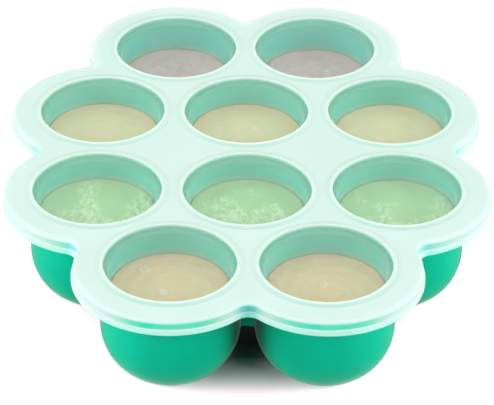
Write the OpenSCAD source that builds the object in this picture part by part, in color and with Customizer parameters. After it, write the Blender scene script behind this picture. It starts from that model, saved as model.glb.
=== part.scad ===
// Ten-cup freezer tray for baby food, with its press-on lid and a portion of puree in each cup.
// Origin: the middle of the outline, on the plane that the cups stand on.
// +X right, +Y back, +Z up. Millimetres.

/* [Layout] */
// Gap between the walls of two neighbouring cups
cup_gap = 5; // [4:0.5:12]
// Radius of the rounding in each notch between two lobes, at the lid's lip
notch_r = 5; // [3:0.5:9]

/* [Cups] */
// Height of a cup from its foot to the web's underside
cup_h = 44.2; // [38:0.2:60]
// Outer radius of a cup
cup_r = 26.5; // [23:0.1:34]
// Radius of the flat foot of a cup, from which the rounding rises to the wall
foot_r = 4; // [1:0.5:14]
// Thickness of a cup's wall at the web
wall_t = 3.3; // [2:0.1:4]
// Slope of a cup's inner wall from upright, in degrees
wall_draft = 3; // [1:0.5:4]
// Thickness of a cup's bottom
bottom_t = 3.2; // [1.5:0.1:5]
// Radius of the rounding between a cup's inner wall and its bottom
bowl_r = 18; // [10:0.5:19]

/* [Web and rim] */
// Thickness of the web that joins the cups
web_t = 2.6; // [2:0.1:4]
// Radius of the rounding round each cup's mouth
mouth_edge_r = 1.4; // [0.5:0.1:1.8]
// Height of the rim, from the web's top down
rim_h = 4.6; // [4.2:0.1:5.2]
// Width of the rim
rim_w = 3; // [2:0.1:4.5]
// Thickness of the ribs between neighbouring outer cups
rib_t = 3; // [1.5:0.1:5]
// Height of the ribs' lower edges above the feet
rib_foot_z = 19; // [14:0.5:32]
// Radius of the arch in each rib's lower edge
rib_arch_r = 8; // [6:0.5:20]
// Rise of that arch
rib_arch_h = 1; // [0.5:0.1:2]

/* [Lid] */
// Thickness of the lid's plate
plate_t = 1.6; // [1.2:0.1:2.4]
// How far the lid reaches past the walls of the outer cups
lid_margin = 9.7; // [8.5:0.1:12]
// Thickness of the lid's skirt
skirt_t = 1.6; // [1:0.1:2.2]
// Height of the lid's skirt, from the plate's top to the lip's underside
skirt_h = 6.6; // [6.2:0.1:8]
// How far the lip stands out from the skirt
lip_w = 0.8; // [0.6:0.1:3]
// Height of the lip
lip_h = 2.2; // [1.4:0.1:2.8]
// Clearance between the tray's rim and the lid's skirt
rim_gap = 0.4; // [0.3:0.05:0.8]

/* [Windows] */
// How far the edge of a window lies inside its cup's outer wall
window_inset = 1.5; // [0.5:0.1:3]
// Width of the raised ring round a window
ring_w = 3.2; // [2:0.1:3.6]
// Height of the ring above the plate
ring_h = 0.5; // [0.3:0.1:1.2]
// Thickness of a pane
pane_t = 0.8; // [0.5:0.05:0.9]
// Width of the ledge that a pane is held under
ledge_w = 1; // [0.6:0.1:1.4]
// Thickness of that ledge
ledge_t = 0.3; // [0.2:0.05:0.5]
// Clearance round a pane
pane_gap = 0.05; // [0.02:0.01:0.1]

/* [Portions] */
// Depth of the puree's surface below the cups' mouths, row by row from the back
fill_depths = [11.7, 8.9, 7.9, 9]; // [6:0.1:14]
// Clearance between a portion and its cup
portion_gap = 0.3; // [0.2:0.05:0.5]

/* [Hidden] */
$fn = 96;
slack = 1; // how far cutters run past a face

// Radii round a cup's axis
cup_corner_r = cup_r - foot_r;
mouth_r = cup_r - wall_t;
window_r = cup_r - window_inset;
pane_r = window_r + ledge_w - pane_gap;
lid_r = cup_r + lid_margin;
lip_r = lid_r + lip_w;
tray_r = lid_r - skirt_t - rim_gap;

// Layout of the ten cups, row by row from the back, left to right
cup_pitch = 2 * cup_r + cup_gap;
row_y = cup_pitch * (1 + sqrt(3)) / 2;
cup_at = [
    [-cup_pitch / 2, row_y], [cup_pitch / 2, row_y],
    [-cup_pitch, cup_pitch / 2], [0, cup_pitch / 2], [cup_pitch, cup_pitch / 2],
    [-cup_pitch, -cup_pitch / 2], [0, -cup_pitch / 2], [cup_pitch, -cup_pitch / 2],
    [-cup_pitch / 2, -row_y], [cup_pitch / 2, -row_y]
];
cup_row = [0, 0, 1, 1, 1, 2, 2, 2, 3, 3];
cups = [0:len(cup_at) - 1];

// The eight outer cups, anticlockwise from the front left
outer_cups = [8, 9, 7, 4, 1, 0, 2, 5];
lobes = [0:len(outer_cups) - 1];
// Every lobe's radius and the radius of the notch beside it add up to this
lobe_to_notch = lip_r + notch_r;
notch_angle = acos(cup_pitch / 2 / lobe_to_notch);

function lobe_at(i) = cup_at[outer_cups[(i + len(outer_cups)) % len(outer_cups)]];
function heading(a, b) = atan2(b.y - a.y, b.x - a.x);
function along(angle, r) = r * [cos(angle), sin(angle)];
function notch_at(i) = lobe_at(i)
    + along(heading(lobe_at(i), lobe_at(i + 1)) - notch_angle, lobe_to_notch);
star = [for (i = lobes) each [lobe_at(i), notch_at(i)]];

// Heights above the feet
web_top = cup_h + web_t;
plate_top = web_top + plate_t;
lip_foot = plate_top - skirt_h;
rim_foot = web_top - rim_h;
ledge_z = plate_top - ledge_t;

// Centre of the rounding inside a cup, placed so that the sloping wall runs into it
bowl_z = bottom_t + bowl_r;
bowl_x = mouth_r - (cup_h - bowl_z + bowl_r * sin(wall_draft)) * tan(wall_draft)
    - bowl_r * cos(wall_draft);

// ---- Outline shared by the tray and the lid: lobes round the outer cups, with round notches

// The outline, with lobes of radius r
module outline(r) {
    difference() {
        polygon(star);
        for (i = lobes)
            translate(notch_at(i)) circle(lobe_to_notch - r);
    }
    for (i = lobes)
        translate(lobe_at(i)) circle(r);
}

// ---- Tray

// The outer half section of a cup, up to a level
module cup_outside(level) {
    intersection() {
        union() {
            square([foot_r, level]);
            translate([0, cup_corner_r]) square([cup_r, level - cup_corner_r]);
            translate([foot_r, cup_corner_r]) circle(cup_corner_r);
        }
        square([cup_r, level]);
    }
}

// The half section of the hollow in a cup, drawn in by a gap, up to a level
module cup_inside(gap, level) {
    r = bowl_r - gap;
    wall_x = bowl_x + r * cos(wall_draft);
    wall_z = bowl_z - r * sin(wall_draft);
    foot_z = bottom_t + gap;
    polygon([
        [0, foot_z], [bowl_x, foot_z], [wall_x, wall_z],
        [wall_x + (level - wall_z) * tan(wall_draft), level], [0, level]
    ]);
    intersection() {
        translate([bowl_x, bowl_z]) circle(r);
        square([wall_x + slack, bowl_z]);
    }
}

// The half section of the hollow in a cup's mouth, with its rounded edge
module mouth_inside() {
    translate([0, cup_h]) square([mouth_r, web_t + slack]);
    difference() {
        translate([mouth_r, web_top - mouth_edge_r]) square([mouth_edge_r, mouth_edge_r + slack]);
        translate([mouth_r + mouth_edge_r, web_top - mouth_edge_r]) circle(mouth_edge_r);
    }
}

// A cup, up to the web's top
module cup(i) {
    color("#00ad85")
        translate(cup_at[i]) rotate_extrude() difference() {
            cup_outside(web_top);
            cup_inside(0, cup_h);
            mouth_inside();
        }
}

// The web between the cups
module tray_web() {
    color("#00ad85")
        translate([0, 0, cup_h]) linear_extrude(web_t) difference() {
            outline(tray_r);
            for (i = cups)
                translate(cup_at[i]) circle(cup_r);
        }
}

// The rim's thicker edge under the web, which the lid's skirt goes round
module tray_rim() {
    color("#00ad85")
        translate([0, 0, rim_foot]) linear_extrude(rim_h - web_t) difference() {
            outline(tray_r);
            outline(tray_r - rim_w);
        }
}

// A rib between each two neighbouring outer cups, hanging from the web
module tray_ribs() {
    color("#009873") for (i = lobes) {
        middle = (lobe_at(i) + lobe_at(i + 1)) / 2;
        translate(middle) rotate([0, 0, heading(lobe_at(i), lobe_at(i + 1))]) difference() {
            translate([-cup_pitch / 4, -rib_t / 2, rib_foot_z])
                cube([cup_pitch / 2, rib_t, cup_h - rib_foot_z]);
            translate([0, 0, rib_foot_z - rib_arch_r + rib_arch_h]) rotate([90, 0, 0])
                cylinder(r = rib_arch_r, h = rib_t + 2 * slack, center = true);
            for (side = [-1, 1])
                translate([side * cup_pitch / 2, 0, 0]) rotate_extrude() cup_outside(cup_h);
        }
    }
}

// ---- Lid

// Radius of the arc over a ring, which meets the plate at both sides
ring_arc_r = (ring_w * ring_w / 4 + ring_h * ring_h) / (2 * ring_h);

// The raised ring round a window, rounded on top
module ring() {
    rotate_extrude() translate([window_r, plate_top - ledge_t]) {
        square([ring_w, ledge_t]);
        intersection() {
            translate([ring_w / 2, ledge_t + ring_h - ring_arc_r]) circle(ring_arc_r);
            square([ring_w, ledge_t + ring_h]);
        }
    }
}

// A window's hole, wider below its ledge, where the pane goes in
module window_cut() {
    translate([0, 0, web_top - slack]) {
        cylinder(r = window_r, h = plate_t + 2 * slack);
        cylinder(r = window_r + ledge_w, h = ledge_z - web_top + slack);
    }
}

// The lid's flat plate, with the windows' holes and the rings round them
module lid_plate() {
    color("#dcf7ee") {
        difference() {
            translate([0, 0, web_top]) linear_extrude(plate_t) outline(lid_r);
            for (i = cups)
                translate(cup_at[i]) window_cut();
        }
        for (i = cups)
            translate(cup_at[i]) ring();
    }
}

// The skirt that hangs from the plate's edge round the tray's rim, with its lip
module lid_skirt() {
    color("#dcf7ee") translate([0, 0, lip_foot]) difference() {
        union() {
            linear_extrude(skirt_h - plate_t) outline(lid_r);
            linear_extrude(lip_h) outline(lip_r);
        }
        translate([0, 0, -slack]) linear_extrude(skirt_h + slack) outline(lid_r - skirt_t);
    }
}

// The clear pane of a window
module window_pane(i) {
    color("#c8f0e4", 0.35)
        translate([cup_at[i].x, cup_at[i].y, ledge_z - pane_t]) cylinder(r = pane_r, h = pane_t);
}

// ---- Contents

puree_colours = ["#c9a9a4", "#e4cf94", "#a9d99a", "#ecc99a"];

// The portion of puree in a cup
module puree(i) {
    color(puree_colours[cup_row[i]])
        translate(cup_at[i]) rotate_extrude()
            cup_inside(portion_gap, web_top - fill_depths[cup_row[i]]);
}

tray_web();
tray_rim();
tray_ribs();
lid_plate();
lid_skirt();
for (i = cups) {
    cup(i);
    window_pane(i);
    puree(i);
}
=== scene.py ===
"""Looks of the ten-cup freezer tray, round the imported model: tray, press-on lid, windows
and puree."""

import math

import bmesh
import bpy
from mathutils import Matrix, Vector, noise


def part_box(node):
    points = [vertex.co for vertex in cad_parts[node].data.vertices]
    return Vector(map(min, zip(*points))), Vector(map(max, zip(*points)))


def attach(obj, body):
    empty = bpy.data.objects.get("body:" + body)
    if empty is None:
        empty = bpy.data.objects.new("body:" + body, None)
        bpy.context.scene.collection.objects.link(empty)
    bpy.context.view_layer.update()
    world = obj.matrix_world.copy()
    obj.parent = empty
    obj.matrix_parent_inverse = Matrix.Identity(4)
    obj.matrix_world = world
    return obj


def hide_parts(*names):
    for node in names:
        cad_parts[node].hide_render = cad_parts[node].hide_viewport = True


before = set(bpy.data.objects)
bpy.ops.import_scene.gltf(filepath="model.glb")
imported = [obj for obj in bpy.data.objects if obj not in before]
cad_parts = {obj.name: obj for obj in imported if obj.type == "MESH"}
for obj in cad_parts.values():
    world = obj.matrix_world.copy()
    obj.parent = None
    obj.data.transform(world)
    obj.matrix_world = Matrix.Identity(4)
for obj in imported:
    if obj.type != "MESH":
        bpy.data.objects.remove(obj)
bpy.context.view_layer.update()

mm = 0.001

# ---- Camera, at the photograph's angle

photo_w = 494  # pixels
focal_length = 2713.3  # pixels of the photograph
sensor_w = 36.0
camera_aim = Vector((-0.2, -39.1, 48.9)) * mm
camera_distance = 1040.1 * mm
camera_elevation = math.radians(33.52)
camera_yaw = math.radians(-0.70)
camera_roll = math.radians(0.62)


def add_camera():
    lens = bpy.data.cameras.new("camera")
    lens.sensor_width = sensor_w
    lens.lens = focal_length / photo_w * sensor_w
    lens.clip_start = 10 * mm
    camera = bpy.data.objects.new("camera", lens)
    bpy.context.scene.collection.objects.link(camera)
    backwards = Vector((
        math.sin(camera_yaw) * math.cos(camera_elevation),
        -math.cos(camera_yaw) * math.cos(camera_elevation),
        math.sin(camera_elevation),
    ))
    turn = backwards.to_track_quat("Z", "Y").to_matrix().to_4x4()
    roll = Matrix.Rotation(camera_roll, 4, "Z")
    place = Matrix.Translation(camera_aim + camera_distance * backwards)
    camera.matrix_world = place @ turn @ roll
    bpy.context.scene.camera = camera


add_camera()

# ---- Sizes, from the frame where it holds them

cups = range(1, 11)
rows = {"back": (1, 2), "second": (3, 4, 5), "third": (6, 7, 8), "front": (9, 10)}
ribs_between = 8


def middle(node):
    low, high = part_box(node)
    return Vector(((low.x + high.x) / 2, (low.y + high.y) / 2, 0))


def half_width(node):
    low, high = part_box(node)
    return (high.x - low.x) / 2


centre = {i: middle(f"cup_{i}") for i in cups}
pitch = (centre[2] - centre[1]).length
side_cup = 5
front_cup = 10

cup_r = half_width("cup_1")
cup_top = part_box("tray_web")[0].z
web_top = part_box("tray_web")[1].z
rim_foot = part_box("tray_rim")[0].z
rim_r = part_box("tray_rim")[1].x - centre[side_cup].x
rib_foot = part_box("tray_ribs")[0].z
lip_r = centre[front_cup].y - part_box("lid_skirt")[0].y
lip_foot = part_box("lid_skirt")[0].z
ring_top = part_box("lid_plate")[1].z
pane_r = half_width("window_1")
pane_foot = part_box("window_1")[0].z
pane_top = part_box("window_1")[1].z

# Sizes of the tray that the frame doesn't hold, the same as the part's own
corner_r = 22.5 * mm
mouth_r = 23.2 * mm
wall_draft = math.radians(3)
bottom_t = 3.2 * mm
bowl_r = 18 * mm
mouth_edge_r = 1.4 * mm
web_fillet = 1.5 * mm
rim_w = 3 * mm
rim_edge_r = 0.8 * mm
rib_t = 3 * mm
rib_arch_r = 8 * mm
rib_arch_h = 1 * mm

# Sizes of the lid that the frame doesn't hold, the same as the part's own
ring_h = 0.5 * mm
ring_w = 3.2 * mm
plate_top = ring_top - ring_h
window_r = 25 * mm
lid_r = 36.2 * mm
skirt_t = 1.6 * mm
lip_h = 2.2 * mm
notch_r = 5 * mm

# Roundings of the lid's edges, and the slope of its rings, which only the scene has
shoulder_r = 1.8 * mm
lip_edge_r = 0.5 * mm
small_edge_r = 0.3 * mm
inside_edge_r = 0.4 * mm
ring_foot_r = 1.5 * mm
ring_crest_w = 0.7 * mm
ring_crest_r = 1 * mm
hole_edge_r = 0.25 * mm

# How far a flat face runs on level before it turns, so that it shades flat
hold = 0.4 * mm
# What keeps two faces that touch from being drawn in the same place
kiss = 0.05 * mm
# How far a point may lie from the place that it is looked for at
tolerance = 0.005 * mm
# Points nearer to each other than this become one
weld = 0.001 * mm

# Facets of a full turn
round_steps = 128
pane_steps = 96
puree_steps = 160

# ---- Lines: half sections and the outline


def arc(x, z, r, start, end, steps):
    """Points round (x, z), from one angle in degrees to the other."""
    angles = [math.radians(start + (end - start) * s / steps) for s in range(steps + 1)]
    return [(x + r * math.cos(a), z + r * math.sin(a)) for a in angles]


def rounded(corners, steps=5):
    """A line through corners (x, z, radius), where each corner becomes an arc of its radius."""
    line = []
    for k, (x, z, r) in enumerate(corners):
        corner = Vector((x, z))
        if not r:
            line.append((x, z))
            continue
        before = (Vector(corners[k - 1][:2]) - corner).normalized()
        after = (Vector(corners[k + 1][:2]) - corner).normalized()
        half = before.angle(after) / 2
        hub = corner + (before + after).normalized() * r / math.sin(half)
        start = corner + before * r / math.tan(half) - hub
        end = corner + after * r / math.tan(half) - hub
        first = math.degrees(math.atan2(start.y, start.x))
        turn = (math.degrees(math.atan2(end.y, end.x)) - first + 180) % 360 - 180
        line += arc(hub.x, hub.y, r, first, first + turn, steps)
    return line


# The eight outer cups, anticlockwise
outer_cups = sorted((i for i in cups if centre[i].length > pitch),
                    key=lambda i: math.atan2(centre[i].y, centre[i].x))
lobe_to_notch = lip_r + notch_r


def facing(angle):
    return Vector((math.cos(angle), math.sin(angle), 0))


def bearing(start, end):
    return math.atan2(end.y - start.y, end.x - start.x)


def outline():
    """The outline as (anchor, direction) pairs: the outline of lobe radius r runs
    through anchor + r * direction."""
    degrees_a_step = 4
    lobes = [centre[i] for i in outer_cups]
    reach = math.acos(pitch / 2 / lobe_to_notch)
    notches = [lobe + lobe_to_notch * facing(bearing(lobe, following) - reach)
               for lobe, following in zip(lobes, lobes[1:] + lobes[:1])]
    pairs = []
    for k, lobe in enumerate(lobes):
        first = bearing(lobe, notches[k - 1])
        turn = (bearing(lobe, notches[k]) - first) % math.tau
        steps = math.ceil(math.degrees(turn) / degrees_a_step)
        pairs += [(lobe, facing(first + turn * s / steps)) for s in range(steps + 1)]
        notch = notches[k]
        first = bearing(notch, lobe)
        turn = (first - bearing(notch, lobes[(k + 1) % len(lobes)])) % math.tau
        steps = math.ceil(math.degrees(turn) / degrees_a_step)
        for s in range(1, steps):
            to_edge = facing(first - turn * s / steps)
            pairs.append((notch + lobe_to_notch * to_edge, -to_edge))
    return pairs


outline_pairs = outline()

# ---- Mesh tools


def turned(line, steps=round_steps):
    """A surface made by turning a line of (radius, height) points round the Z axis."""
    bm = bmesh.new()
    verts = [bm.verts.new((x, 0, z)) for x, z in line]
    edges = [bm.edges.new(ends) for ends in zip(verts, verts[1:])]
    bmesh.ops.spin(bm, geom=verts + edges, cent=(0, 0, 0), axis=(0, 0, 1), angle=math.tau,
                   steps=steps, use_merge=True)
    bmesh.ops.remove_doubles(bm, verts=bm.verts, dist=weld)
    bmesh.ops.recalc_face_normals(bm, faces=bm.faces)
    return bm


def copy_at(form, place):
    """A copy of a form, moved to a place."""
    bm = form.copy()
    bmesh.ops.translate(bm, verts=bm.verts, vec=place)
    return bm


def add_form(bm, form, place):
    """Adds a copy of a form to bm, moved to a place, and returns its edges."""
    mesh = bpy.data.meshes.new("form")
    moved = copy_at(form, place)
    moved.to_mesh(mesh)
    moved.free()
    old_edges = set(bm.edges)
    bm.from_mesh(mesh)
    bpy.data.meshes.remove(mesh)
    return [e for e in bm.edges if e not in old_edges]


def outline_loop(bm, r, z):
    """The outline of lobe radius r at height z, as edges that know their points."""
    point = bm.verts.layers.int.get("point") or bm.verts.layers.int.new("point")
    verts = []
    for k, (anchor, direction) in enumerate(outline_pairs):
        vert = bm.verts.new(anchor + r * direction + Vector((0, 0, z)))
        vert[point] = k
        verts.append(vert)
    return [bm.edges.new(ends) for ends in zip(verts, verts[1:] + verts[:1])]


def sweep_outline(bm, line):
    """Extrudes the outline along a line of (radius, height) points. Returns its first and
    last loops."""
    first = loop = outline_loop(bm, *line[0])
    point = bm.verts.layers.int["point"]
    for r, z in line[1:]:
        made = bmesh.ops.extrude_edge_only(bm, edges=loop)["geom"]
        for vert in (g for g in made if isinstance(g, bmesh.types.BMVert)):
            anchor, direction = outline_pairs[vert[point]]
            vert.co = anchor + r * direction + Vector((0, 0, z))
        made_verts = {g for g in made if isinstance(g, bmesh.types.BMVert)}
        loop = [g for g in made if isinstance(g, bmesh.types.BMEdge)
                and g.verts[0] in made_verts and g.verts[1] in made_verts]
    return first, loop


def add_linings(bm, line):
    """Adds the lining of a hole at every cup. Returns their loops at the line's first point
    and at its last."""
    form = turned(line)
    firsts, lasts = [], []
    for i in cups:
        edges = [e for e in add_form(bm, form, centre[i]) if e.is_boundary]
        for (r, z), loops in ((line[0], firsts), (line[-1], lasts)):
            loops.append([e for e in edges if all(
                abs(v.co.z - z) < tolerance
                and abs((v.co - centre[i]).xy.length - r) < tolerance
                for v in e.verts)])
    return firsts, lasts


def fill(bm, loops):
    """A flat face within the first loop, with the other loops as holes."""
    edges = [e for loop in loops for e in loop]
    bmesh.ops.triangle_fill(bm, edges=edges, use_beauty=True, use_dissolve=False,
                            normal=(0, 0, 1))


def note(bm, name, value):
    """Keeps value(vert) on every vertex, as an attribute for a finish to read."""
    layer = bm.verts.layers.float.new(name)
    for vert in bm.verts:
        vert[layer] = value(vert)


def apart(spot):
    """How much further off the second nearest cup is than the nearest: nothing halfway
    between two cups."""
    near, far = sorted((spot - c).xy.length for c in centre.values())[:2]
    return far - near


def piece(name, bm, finish, body, replaces, sharp_over=35):
    """A finished object in place of some nodes, riding on its body. It is smooth but for
    edges sharper than an angle in degrees."""
    mesh = bpy.data.meshes.new(name)
    bm.to_mesh(mesh)
    bm.free()
    mesh.shade_smooth()
    mesh.set_sharp_from_angle(angle=math.radians(sharp_over))
    mesh.materials.append(finish)
    made = bpy.data.objects.new(name, mesh)
    bpy.context.scene.collection.objects.link(made)
    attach(made, body)
    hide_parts(*replaces)


# ---- Shader values


class Wire:
    """An output socket of a material. Arithmetic on it adds Math nodes."""

    def __init__(self, socket):
        self.socket = socket

    def node(self, kind, settings=None, inputs=None, output=0):
        """Adds a node: first its settings, then the values or links of its sockets."""
        tree = self.socket.id_data
        node = tree.nodes.new(kind)
        for name, setting in (settings or {}).items():
            setattr(node, name, setting)
        for name, given in (inputs or {}).items():
            if isinstance(given, Wire):
                tree.links.new(given.socket, node.inputs[name])
            else:
                node.inputs[name].default_value = given
        return Wire(node.outputs[output])

    def math(self, operation, *values):
        return self.node("ShaderNodeMath", {"operation": operation}, dict(enumerate(values)))

    def __add__(self, other):
        return self.math("ADD", self, other)

    __radd__ = __add__

    def __sub__(self, other):
        return self.math("SUBTRACT", self, other)

    def __rsub__(self, other):
        return self.math("SUBTRACT", other, self)

    def __mul__(self, other):
        return self.math("MULTIPLY", self, other)

    __rmul__ = __mul__

    def __truediv__(self, other):
        return self.math("DIVIDE", self, other)

    def magnitude(self):
        return self.math("ABSOLUTE", self)

    def ramp(self, low, high):
        """0 below low, 1 above high, smooth between them."""
        return self.node("ShaderNodeMapRange", {"interpolation_type": "SMOOTHSTEP"},
                         {"Value": self, "From Min": low, "From Max": high})

    def fall(self, low, high):
        """1 below low, 0 above high, smooth between them."""
        return 1 - self.ramp(low, high)

    def zone(self, rise_low, rise_high, fall_low, fall_high):
        """1 between a smooth rise and a smooth fall, 0 outside them."""
        return self.ramp(rise_low, rise_high) * self.fall(fall_low, fall_high)

    def noise(self, size, detail=2.0, roughness=0.5, distortion=0.0):
        """Noise whose lumps are about size across, for a wire of coordinates."""
        return self.node("ShaderNodeTexNoise", None, {
            "Vector": self, "Scale": 1 / size, "Detail": detail, "Roughness": roughness,
            "Distortion": distortion})

    def mix(self, colour_0, colour_1):
        """The first colour where this wire is 0, the second where it is 1."""
        return self.node("ShaderNodeMix", {"data_type": "RGBA"},
                         {0: self, 6: colour_0, 7: colour_1}, 2)

    def bump(self, depth, strength=1.0):
        """A normal from this wire as height, in units of depth."""
        return self.node("ShaderNodeBump", None,
                         {"Height": self, "Distance": depth, "Strength": strength})


def linear(red, green, blue):
    """A colour written as it shows on a screen, 0 to 255."""
    def channel(level):
        level /= 255
        return level / 12.92 if level <= 0.04045 else ((level + 0.055) / 1.055) ** 2.4
    return channel(red), channel(green), channel(blue), 1.0


def new_material(name, **constants):
    """A material with a Principled shader. Returns it, its coordinates and a way to set
    its sockets."""
    material = bpy.data.materials.new(name)
    material.use_nodes = True
    tree = material.node_tree
    shader = tree.nodes["Principled BSDF"]
    for socket, value in constants.items():
        shader.inputs[socket.replace("_", " ")].default_value = value
    coordinates = Wire(tree.nodes.new("ShaderNodeTexCoord").outputs["Object"])

    def feed(**wires):
        for socket, wire in wires.items():
            tree.links.new(wire.socket, shader.inputs[socket.replace("_", " ")])

    return material, coordinates, feed


def along(axis, vector):
    """One coordinate, X, Y or Z, of a wire that holds a vector."""
    return vector.node("ShaderNodeSeparateXYZ", None, {0: vector}, axis)


def attribute(coordinates, name):
    """A number that note() keeps on the mesh."""
    return coordinates.node("ShaderNodeAttribute", {"attribute_name": name}, None, "Fac")


# ---- Finishes


def tray_silicone():
    """Sea-green silicone with a fine matte grain. It has painted shade where two cups come
    close, is painted lighter on the inside of a cup to make up for the shade within it, has its
    mouth painted darker to even out the stronger light there, and is smeared with puree just
    above the portion."""
    material, place, feed = new_material("tray_silicone", Specular_IOR_Level=0.04,
                                         Sheen_Weight=1.0, Sheen_Roughness=0.28)
    clouds = place.noise(22 * mm, 3)
    grain = place.noise(0.35 * mm, 4, 0.6)
    outside = clouds.ramp(0.3, 0.7).mix(linear(0, 196, 156), linear(0, 201, 162))
    # Painted shade: the silicone is darker where two cups come close, as shade falls between
    # them.
    gap = attribute(place, "apart").fall(4 * mm, 17 * mm)
    shaded = (0.85 * gap).mix(outside, linear(0, 34, 26))
    inside = attribute(place, "inside")
    # Painted light: the inside of a cup is lighter, to make up for the shade within it.
    wall = inside.mix(shaded, linear(74, 218, 201))
    # Painted shade: the mouth, lit more strongly than the wall below it, is darker so that it
    # renders like that wall.
    mouth = (inside - 1).mix(wall, linear(107, 188, 160))
    over_puree = along("Z", place) - attribute(place, "level")
    smear = inside * over_puree.fall(-1 * mm, 2.2 * mm)
    feed(
        Base_Color=(0.5 * smear).mix(mouth, linear(202, 212, 168)),
        Roughness=0.45 + 0.14 * grain,
        Normal=grain.bump(0.03 * mm, 0.5),
    )
    return material


def lid_frosted():
    """Pale mint frosted plastic. The tray's rim shows green through the skirt, whose sides are
    painted lighter for the side light on them, so that the green shows most at the front and
    back. The notches there have a painted blue-green shade. Each window's ring has a painted
    highlight on its top towards the front and painted shade at its outer foot, the plate is
    painted lighter towards its back edge as a highlight, the lip is painted lighter where it
    faces the sides and darker along its upper edge, and a faint painted glow stands for the
    light that gathers along the edges."""
    material, place, feed = new_material("lid_frosted", Specular_IOR_Level=0.3,
                                         Emission_Strength=1.0)
    black = (0, 0, 0, 1)
    teal_notch_shade = linear(132, 240, 232)
    height = along("Z", place)
    lip_top = lip_foot + lip_h
    out = attribute(place, "from_window")
    normal_y = along("Y", place.node("ShaderNodeNewGeometry", None, None, "Normal"))
    to_ends = normal_y.magnitude()
    ends = to_ends.ramp(0.5, 0.97)
    # Painted shade: the notches between the lobes take a blue-green tone in place of the
    # lighter mint, and lose the glow.
    notch = attribute(place, "apart").fall(3 * mm, 10.5 * mm)
    clouds = place.noise(30 * mm, 3)
    grain = place.noise(0.25 * mm, 3, 0.6)

    # Where the parts of the lid are, from 0 to 1
    outer = out.ramp(6 * mm, 8 * mm)
    lip = height.fall(lip_top, lip_top + 0.3 * mm)
    lip_side = height.fall(lip_top - 0.6 * mm, lip_top - 0.1 * mm)
    skirt = outer * height.zone(lip_top, lip_top + 0.5 * mm,
                                plate_top - 2.3 * mm, plate_top - 1.3 * mm)
    shoulder = outer * height.zone(plate_top - 2.2 * mm, plate_top - 1.4 * mm,
                                   plate_top - 0.8 * mm, plate_top - 0.1 * mm)
    under_shoulder = outer * height.fall(plate_top - 1.9 * mm, plate_top - 0.9 * mm)
    ring_foot = out.zone(1 * mm, 2 * mm, 2.8 * mm, 3.8 * mm)
    back_edge_highlight = out.ramp(6 * mm, 11 * mm) * along("Y", place).ramp(30 * mm, 90 * mm)

    # Plate, rings and holes
    frost = clouds.ramp(0.3, 0.7).mix(linear(217, 244, 235), linear(221, 246, 238))
    # Painted highlight: the plate is lighter towards its outer edge at the back.
    plate = (0.8 * back_edge_highlight).mix(frost, linear(242, 254, 250))
    # Painted shade: the outer foot of each window's ring is darker, most where it faces the
    # front.
    to_front = (0 - normal_y).ramp(0.0, 0.3)
    ring_foot_shaded = (ring_foot * (0.15 + 0.85 * to_front)).mix(plate, linear(184, 228, 213))
    # Painted highlight: the top of each window's ring is brighter towards the front of the
    # window.
    ring_crest_highlight = attribute(place, "ahead").ramp(-0.2, 0.6).mix(
        linear(226, 249, 240), linear(236, 255, 245))
    hole = height.ramp(web_top + 0.7 * mm, ring_top - 0.3 * mm).mix(
        linear(150, 222, 198), ring_crest_highlight)
    top = out.ramp(0.9 * mm, 1.3 * mm).mix(hole, ring_foot_shaded)
    top = (0.9 * notch * ends * under_shoulder).mix(top, teal_notch_shade)

    # Skirt and lip
    # The rim's green under the skirt is real; keeping it to where the skirt faces front or
    # back, with lighter sides, is painted side light.
    through = to_ends.ramp(0.78, 0.99) * along("Y", place).magnitude().ramp(40 * mm, 84 * mm)
    contact = 0.8 + 0.2 * place.noise(16 * mm, 2).ramp(0.35, 0.65)
    band = (through * contact).mix(linear(216, 246, 236), linear(0, 236, 190))
    band = (0.9 * notch).mix(band, teal_notch_shade)
    # Painted light and shade: the lip is lighter where it faces the sides and darker along its
    # upper edge, for how light falls on it.
    rim = ends.mix(linear(229, 245, 240), lip_side.mix(
        linear(176, 236, 222), linear(198, 252, 238)))
    rim = (0.7 * notch * ends).mix(rim, teal_notch_shade)

    # Painted glow: emission on the shoulder, skirt and lip stands for light, though the lid is
    # no lamp
    skirt_glow = skirt.mix(black, (through * (1 - notch)).mix(black, linear(0, 92, 82)))
    glow = lip.mix(shoulder.mix(skirt_glow, linear(88, 102, 100)),
                   lip_side.mix(black, linear(60, 108, 96)))
    feed(
        Base_Color=lip.mix(skirt.mix(top, band), rim),
        Emission_Color=to_ends.ramp(0.3, 0.8).mix(black, glow),
        Alpha=0.94 - 0.08 * skirt,
        Roughness=0.42 + 0.14 * grain,
        Normal=grain.bump(0.02 * mm, 0.4),
    )
    return material


def window_clear():
    """A milky clear pane."""
    material, place, feed = new_material("window_clear", Specular_IOR_Level=0.25)
    haze = place.noise(14 * mm, 4).ramp(0.35, 0.65)
    feed(
        Base_Color=haze.mix(linear(204, 232, 222), linear(210, 238, 228)),
        Alpha=0.13 + 0.012 * haze,
        Roughness=0.35 + 0.1 * place.noise(0.5 * mm, 3),
    )
    return material


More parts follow.
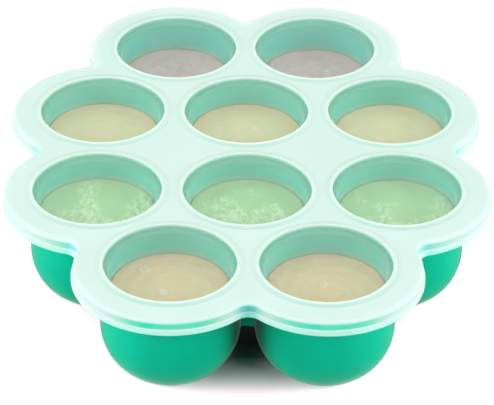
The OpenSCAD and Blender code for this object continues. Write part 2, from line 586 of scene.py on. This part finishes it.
def puree_finish(name, deep, light, edge, share, wetness):
    """Cooked puree: lighter on its lumps by a share, partly their own colour and partly painted
    light, with a painted highlight on the highest of them, a stained edge and small fibres."""
    material, place, feed = new_material(name, Specular_IOR_Level=0.35,
                                         Subsurface_Weight=0.12,
                                         Subsurface_Radius=(4 * mm, 3 * mm, 2 * mm),
                                         Subsurface_Scale=1.0)
    lumps = attribute(place, "relief")
    mottling = place.noise(3.2 * mm, 5, 0.62, 0.6)
    fibres = place.noise(0.5 * mm, 3, 0.7)
    crest_highlight_colour = [(level + 1) / 2 for level in light]
    # Partly the lumps' own colour and partly painted light: the higher the lump, the lighter.
    body = (share * lumps + (1 - share) * mottling.ramp(0.3, 0.7)).mix(deep, light)
    # Painted highlight: the highest lumps, and the rings left by bubbles, are lighter still.
    with_crest_highlight = (0.6 * lumps.ramp(0.85, 1.0)).mix(body, crest_highlight_colour)
    stain = attribute(place, "edge").ramp(0.5, 1.0) * (0.4 + 0.6 * mottling.ramp(0.35, 0.6))
    feed(
        Base_Color=(0.8 * stain).mix(with_crest_highlight, edge),
        Roughness=wetness + 0.25 * fibres,
        Normal=(0.5 * fibres + mottling).bump(0.25 * mm, 0.6),
    )
    return material


silicone = tray_silicone()
frosted = lid_frosted()
clear = window_clear()
purees = {
    "back": puree_finish("puree_mauve", linear(224, 181, 184), linear(252, 210, 213),
                         linear(246, 178, 170), 0.55, 0.4),
    "second": puree_finish("puree_yellow", linear(246, 226, 163), linear(252, 235, 180),
                           linear(255, 196, 148), 0.55, 0.42),
    "third": puree_finish("puree_green", linear(168, 214, 146), linear(216, 255, 186),
                          linear(196, 212, 160), 0.9, 0.36),
    "front": puree_finish("puree_orange", linear(255, 212, 150), linear(255, 224, 168),
                          linear(255, 184, 142), 0.55, 0.38),
}

# ---- Tray

join_r = mouth_r + mouth_edge_r + hold


def bowl_hub():
    """Centre of the rounding inside a cup, as (radius, height)."""
    bowl_z = bottom_t + bowl_r
    above = cup_top - bowl_z + bowl_r * math.sin(wall_draft)
    return mouth_r - above * math.tan(wall_draft) - bowl_r * math.cos(wall_draft), bowl_z


def cup_form():
    """A cup with its mouth's rounded edge and the fillet under the web."""
    foot_r = cup_r - corner_r
    bowl_x, bowl_z = bowl_hub()
    line = [(0, 0)]
    line += arc(foot_r, corner_r, corner_r, -90, 0, 20)
    line += rounded([(cup_r, cup_top - 2 * web_fillet, 0), (cup_r, cup_top, web_fillet),
                     (cup_r + 2 * web_fillet, cup_top, 0)], 6)[:-1]
    line += [(join_r, cup_top + kiss), (join_r, web_top)]
    line += arc(mouth_r + mouth_edge_r, web_top - mouth_edge_r, mouth_edge_r, 90, 180, 8)
    line += [(mouth_r, cup_top)]
    line += arc(bowl_x, bowl_z, bowl_r, -math.degrees(wall_draft), -90, 18)
    line += [(0, bottom_t)]
    form = turned(line)
    form.normal_update()

    def inside(vert):
        """0 outside the cup, 1 within it, and up to 2 at its mouth."""
        mouth_h = 4 * mm
        outwards = Vector((vert.co.x, vert.co.y, -bowl_r))
        below_mouth = (web_top - vert.co.z) / mouth_h
        return 2 - min(below_mouth, 1) if vert.normal.dot(outwards) < 0 else 0

    note(form, "inside", inside)
    return form


def tray_cups():
    form = cup_form()
    for i in cups:
        bm = copy_at(form, centre[i])
        puree_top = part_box(f"puree_{i}")[1].z
        note(bm, "apart", lambda vert: apart(vert.co))
        note(bm, "level", lambda vert: puree_top)
        piece(f"cup_{i}_shell", bm, silicone, "tray", [f"cup_{i}"])


def out_of_gaps(bm):
    """Keeps the shade that lies between two cups off a form."""
    note(bm, "apart", lambda vert: pitch)


def tray_web():
    """The web between the cups, with the rim that the lid goes over."""
    bm = bmesh.new()
    inner_r = rim_r - rim_w
    top, underside = sweep_outline(bm, rounded([
        (rim_r - 3 * rim_edge_r, web_top, 0),
        (rim_r, web_top, rim_edge_r),
        (rim_r, rim_foot, rim_edge_r),
        (inner_r, rim_foot, rim_edge_r),
        (inner_r, cup_top, rim_edge_r),
        (inner_r - 2 * rim_edge_r, cup_top, 0),
    ]))
    holes_above, holes_below = add_linings(bm, [(join_r, web_top), (join_r, cup_top)])
    fill(bm, [top] + holes_above)
    fill(bm, [underside] + holes_below)
    bmesh.ops.recalc_face_normals(bm, faces=bm.faces)
    out_of_gaps(bm)
    piece("tray_flange", bm, silicone, "tray", ["tray_web", "tray_rim"])


def tray_ribs():
    """The ribs between neighbouring outer cups, with an arch below and rounded edges."""
    bm = bmesh.new()
    into_wall = 1 * mm
    half_l = pitch / 2 - cup_r + into_wall
    arch = math.degrees(math.asin(half_l / rib_arch_r))
    low = rib_foot - rib_arch_r + rib_arch_h
    edge_r = 0.7 * mm
    for k, i in enumerate(outer_cups):
        following = outer_cups[(k + 1) % ribs_between]
        line = arc(0, low, rib_arch_r, 90 + arch, 90 - arch, 8)
        line += [(half_l, cup_top + into_wall), (-half_l, cup_top + into_wall)]
        verts = [bm.verts.new((x, -rib_t / 2, z)) for x, z in line]
        face = bm.faces.new(verts)
        made = bmesh.ops.extrude_face_region(bm, geom=[face])["geom"]
        far = [g for g in made if isinstance(g, bmesh.types.BMVert)]
        bmesh.ops.translate(bm, verts=far, vec=(0, rib_t, 0))
        along_arch = [e for e in {e for v in verts + far for e in v.link_edges}
                      if abs(e.verts[0].co.y - e.verts[1].co.y) < kiss
                      and all(v.co.z < rib_foot + rib_arch_h + kiss for v in e.verts)]
        verts = verts + far
        place = Matrix.Translation((centre[i] + centre[following]) / 2) @ Matrix.Rotation(
            bearing(centre[i], centre[following]), 4, "Z")
        bmesh.ops.transform(bm, matrix=place, verts=verts)
        bmesh.ops.bevel(bm, geom=along_arch, offset=edge_r, offset_type="OFFSET",
                        affect="EDGES", segments=4, profile=0.5, material=-1)
    bmesh.ops.recalc_face_normals(bm, faces=bm.faces)
    out_of_gaps(bm)
    piece("tray_rib_set", bm, silicone, "tray", ["tray_ribs"])


tray_cups()
tray_web()
tray_ribs()

# ---- Lid


def lid_frame():
    """Plate, rounded shoulder, skirt and lip, with a raised ring round each window."""
    bm = bmesh.new()
    inside_r = lid_r - skirt_t
    under = web_top + kiss
    top, underside = sweep_outline(bm, rounded([
        (lid_r - shoulder_r - hold, plate_top, 0),
        (lid_r, plate_top, shoulder_r),
        (lid_r, lip_foot + lip_h, small_edge_r),
        (lip_r, lip_foot + lip_h, lip_edge_r),
        (lip_r, lip_foot, lip_edge_r),
        (inside_r, lip_foot, small_edge_r),
        (inside_r, under, inside_edge_r),
        (inside_r - 2 * hold, under, 0),
    ], 6))
    ring = rounded([
        (window_r + ring_w + 2 * hold, plate_top, 0),
        (window_r + ring_w, plate_top, ring_foot_r),
        (window_r + ring_crest_w, ring_top, ring_crest_r),
        (window_r, ring_top, hole_edge_r),
        (window_r, under, 0),
    ], 6)
    holes_above, holes_below = add_linings(bm, ring)
    fill(bm, [top] + holes_above)
    fill(bm, [underside] + holes_below)
    bmesh.ops.recalc_face_normals(bm, faces=bm.faces)

    def nearest_window(vert):
        """How far off its edge is, and how far to its front the point lies."""
        off, ahead = min(((vert.co - c).xy.length, (c - vert.co).y) for c in centre.values())
        return off - window_r, ahead / window_r

    note(bm, "from_window", lambda vert: nearest_window(vert)[0])
    note(bm, "ahead", lambda vert: nearest_window(vert)[1])
    note(bm, "apart", lambda vert: apart(vert.co))
    piece("lid_shell", bm, frosted, "lid", ["lid_plate", "lid_skirt"], 50)


def pane_form():
    """A thin pane with its edge just rounded."""
    edge_r = 0.15 * mm
    foot, top = pane_foot + kiss, pane_top - kiss
    return turned(rounded([
        (0, foot, 0), (pane_r - kiss, foot, edge_r),
        (pane_r - kiss, top, edge_r), (0, top, 0),
    ], 3), pane_steps)


def lid_panes():
    form = pane_form()
    for i in cups:
        piece(f"window_{i}_pane", copy_at(form, centre[i]), clear, "lid",
              [f"window_{i}"])


lid_frame()
lid_panes()

# ---- Puree

# Without a seed the strands would come from the clock, and differ from run to run
noise.seed_set(1)


def smooth(value, low, high):
    """0 below low, 1 above high, smooth between them."""
    t = min(max((value - low) / (high - low), 0), 1)
    return t * t * (3 - 2 * t)


def relief(spot, seed, bubbles, lump, swirl, patchy):
    """Height of the puree's surface at a spot, from 0 to 1: lumps that may gather in patches
    of strands towards the front, the swirl of a spoon, and rings left by bubbles."""
    patch_size = 13 * mm
    to_front = 32 * mm
    spoon_turn = 5.5 * mm
    bubble_w = 0.6 * mm
    where = Vector((spot.x / lump, spot.y / lump, seed))
    level = 0.5 + 0.5 * noise.fractal(where, 0.9, 2.1, 4, noise_basis="PERLIN_ORIGINAL")
    strand_at = Vector((1.2 * where.x, 0.45 * where.y, seed))
    strands = 1 - 4 * abs(noise.noise(strand_at + noise.noise_vector(where) * 0.4))
    gather = noise.noise(where * lump / patch_size) - spot.y / to_front
    patch = 1 - patchy * (1 - smooth(gather, -0.35, 0.15))
    level = 0.3 + (level - 0.3 + patchy * (0.1 + 0.7 * max(strands, 0))) * patch
    from_hub = spot.xy - Vector((2 * mm, -3 * mm))
    turned_by = math.atan2(from_hub.y, from_hub.x) / math.tau
    turns = from_hub.length / spoon_turn + turned_by + seed
    level += swirl * (0.5 + 0.5 * math.sin(math.tau * turns) - level)
    for hub_x, hub_y, bubble_r in bubbles:
        off = (spot.xy - Vector((hub_x, hub_y)) * mm).length
        level += 0.7 * math.exp(-((off - bubble_r * mm) / bubble_w) ** 2)
    return min(max(level, 0), 1)


def puree_form(node, depth):
    """A portion: its wall follows the cup, and its flat top lies a lump's depth down."""
    low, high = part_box(node)
    gap = 0.1 * mm
    surface_r = (high.x - low.x) / 2
    rise = high.z - depth
    edge_r = 0.5 * mm
    rings = 46
    bowl_x, bowl_z = bowl_hub()
    line = [(0, bottom_t + gap)]
    line += arc(bowl_x, bowl_z, bowl_r - gap, -90, -math.degrees(wall_draft), 12)
    line += arc(surface_r - edge_r, rise - edge_r, edge_r, 0, 90, 5)
    line += [((surface_r - edge_r) * (1 - s / rings), rise) for s in range(1, rings + 1)]
    return turned(line, puree_steps)


def stir(bm, seed, bubbles, depth, *surface):
    """Raises the top of a portion into its surface, a little less near its edge, and notes
    the relief and how near the edge is."""
    edge_from = 0.9
    edge_drop = 3
    surface_r = max(v.co.x for v in bm.verts)
    rise = max(v.co.z for v in bm.verts)
    note(bm, "edge", lambda vert: vert.co.xy.length / surface_r)
    note(bm, "relief", lambda vert: relief(vert.co, seed, bubbles, *surface))
    height = bm.verts.layers.float["relief"]
    edge = bm.verts.layers.float["edge"]
    for vert in (v for v in bm.verts if v.co.z > rise - 1 * mm):
        lower = max(0, vert[edge] - edge_from) * edge_drop
        vert.co.z += depth * vert[height] * (1 - lower)


# How high each row's surface stands; then its lumps' size, how much of a swirl it has and
# how much its lumps gather in patches
surfaces = {
    "back": (0.9 * mm, 4.5 * mm, 0.0, 0.3),
    "second": (0.5 * mm, 7 * mm, 0.2, 0.0),
    "third": (0.9 * mm, 2.6 * mm, 0.0, 1.0),
    "front": (0.6 * mm, 6 * mm, 0.28, 0.0),
}
# The rings left by bubbles in some cups: x, y and radius in millimetres
bubble_rings = {
    4: [(4, 3, 1.1)],
    9: [(-10, 11, 1.7), (-2.5, -3.3, 1.2), (10, 3.5, 1.1)],
    10: [(-0.7, 1.6, 1.3), (5.8, -3.5, 1.0)],
}
# What keeps one cup's pattern from being the next one's
seed_step = 7.3


def portions():
    for row, members in rows.items():
        depth, *surface = surfaces[row]
        form = puree_form(f"puree_{members[0]}", depth)
        for i in members:
            bm = form.copy()
            stir(bm, seed_step * i, bubble_rings.get(i, []), depth, *surface)
            bmesh.ops.translate(bm, verts=bm.verts, vec=centre[i])
            piece(f"puree_{i}_portion", bm, purees[row], f"portion_{i}",
                  [f"puree_{i}"], 80)


portions()

# ---- Studio


def rays_seen(tree):
    """Whether the camera looks, and whether gloss or glass does."""
    path = tree.nodes.new("ShaderNodeLightPath")
    gloss = Wire(path.outputs["Is Glossy Ray"])
    glass = Wire(path.outputs["Is Transmission Ray"])
    return Wire(path.outputs["Is Camera Ray"]), gloss.math("MAXIMUM", gloss, glass)


def floor_finish():
    """White paper. The camera sees it brighter than it lights the tray, so that it is white
    but for the shadow. Near the tray a painted pink tint takes out the green that the tray
    bounces into the shadow, and under the tray a painted shadow darkens it."""
    material = bpy.data.materials.new("floor")
    material.use_nodes = True
    tree = material.node_tree
    tree.nodes.clear()
    diffuse = tree.nodes.new("ShaderNodeBsdfDiffuse")
    output = tree.nodes.new("ShaderNodeOutputMaterial")
    camera, gloss = rays_seen(tree)
    place = Wire(tree.nodes.new("ShaderNodeTexCoord").outputs["Object"])

    def beyond(middle_y, half_x, half_y, low, high):
        """0 to 1 across the rim of an oval on the floor."""
        x = along("X", place) / half_x
        y = (along("Y", place) - middle_y) / half_y
        return (x * x + y * y).ramp(low, high)

    # Painted against light: near the tray the camera sees the floor pinker, to cancel the green
    # that the tray bounces into the shadow.
    tint_against_bounce = beyond(0, 80 * mm, 135 * mm, 0.7, 1.5).mix(
        (2.8, 1.9, 2.2, 1), (2.1, 2.0, 2.05, 1))
    seen = beyond(0, 1.0, 1.0, 0.04, 0.6).mix(tint_against_bounce, (9, 9, 9, 1))
    paper = camera.mix(gloss.mix((0.65, 0.65, 0.65, 1), (0.95, 0.95, 0.95, 1)), seen)
    # Painted shadow: the floor is darker under the tray.
    painted_shadow_under_tray = 1 - beyond(-10 * mm, 52 * mm, 75 * mm, 0.5, 1.0)
    colour = (0.85 * painted_shadow_under_tray).mix(paper, (0, 0, 0, 1))
    tree.links.new(colour.socket, diffuse.inputs["Color"])
    tree.links.new(diffuse.outputs[0], output.inputs["Surface"])
    return material


def add_floor():
    bm = bmesh.new()
    bmesh.ops.create_grid(bm, x_segments=1, y_segments=1, size=3)
    mesh = bpy.data.meshes.new("floor")
    bm.to_mesh(mesh)
    bm.free()
    mesh.materials.append(floor_finish())
    floor = bpy.data.objects.new("floor", mesh)
    bpy.context.scene.collection.objects.link(floor)


def add_world(level):
    """A plain world: white to the camera, dimmer to gloss and glass, and otherwise a light
    of its level."""
    in_gloss = 0.3
    world = bpy.data.worlds.new("studio")
    bpy.context.scene.world = world
    world.use_nodes = True
    tree = world.node_tree
    background = tree.nodes["Background"]
    background.inputs["Color"].default_value = (1, 1, 1, 1)
    camera, gloss = rays_seen(tree)
    strength = camera.math("MAXIMUM", camera, level + (in_gloss - level) * gloss)
    tree.links.new(strength.socket, background.inputs["Strength"])


def add_lamp(name, place, width, height, power, aim=(0, 0, 0.03)):
    """A soft box at a place in metres, turned to the middle of the tray."""
    lamp = bpy.data.lights.new(name, "AREA")
    lamp.shape = "RECTANGLE"
    lamp.size, lamp.size_y = width, height
    lamp.energy = power
    made = bpy.data.objects.new(name, lamp)
    bpy.context.scene.collection.objects.link(made)
    place = Vector(place)
    turn = (place - Vector(aim)).to_track_quat("Z", "Y").to_matrix().to_4x4()
    made.matrix_world = Matrix.Translation(place) @ turn


bpy.context.scene.view_settings.view_transform = "Standard"
add_floor()
add_world(0.0)
add_lamp("top_softbox", (0, 0, 1.3), 0.9, 0.9, 6.8)
add_lamp("back_softbox", (0, 1.0, 0.8), 1.2, 0.5, 3.7)
for side, name in ((-1, "left"), (1, "right")):
    add_lamp(name + "_front_softbox", (0.75 * side, -0.85, 0.65), 0.6, 0.5, 2.1)
    add_lamp(name + "_softbox", (1.1 * side, -0.45, 0.45), 0.5, 0.6, 7.6)
    add_lamp(name + "_strip", (1.0 * side, 0.1, 0.3), 0.5, 0.8, 3.6)
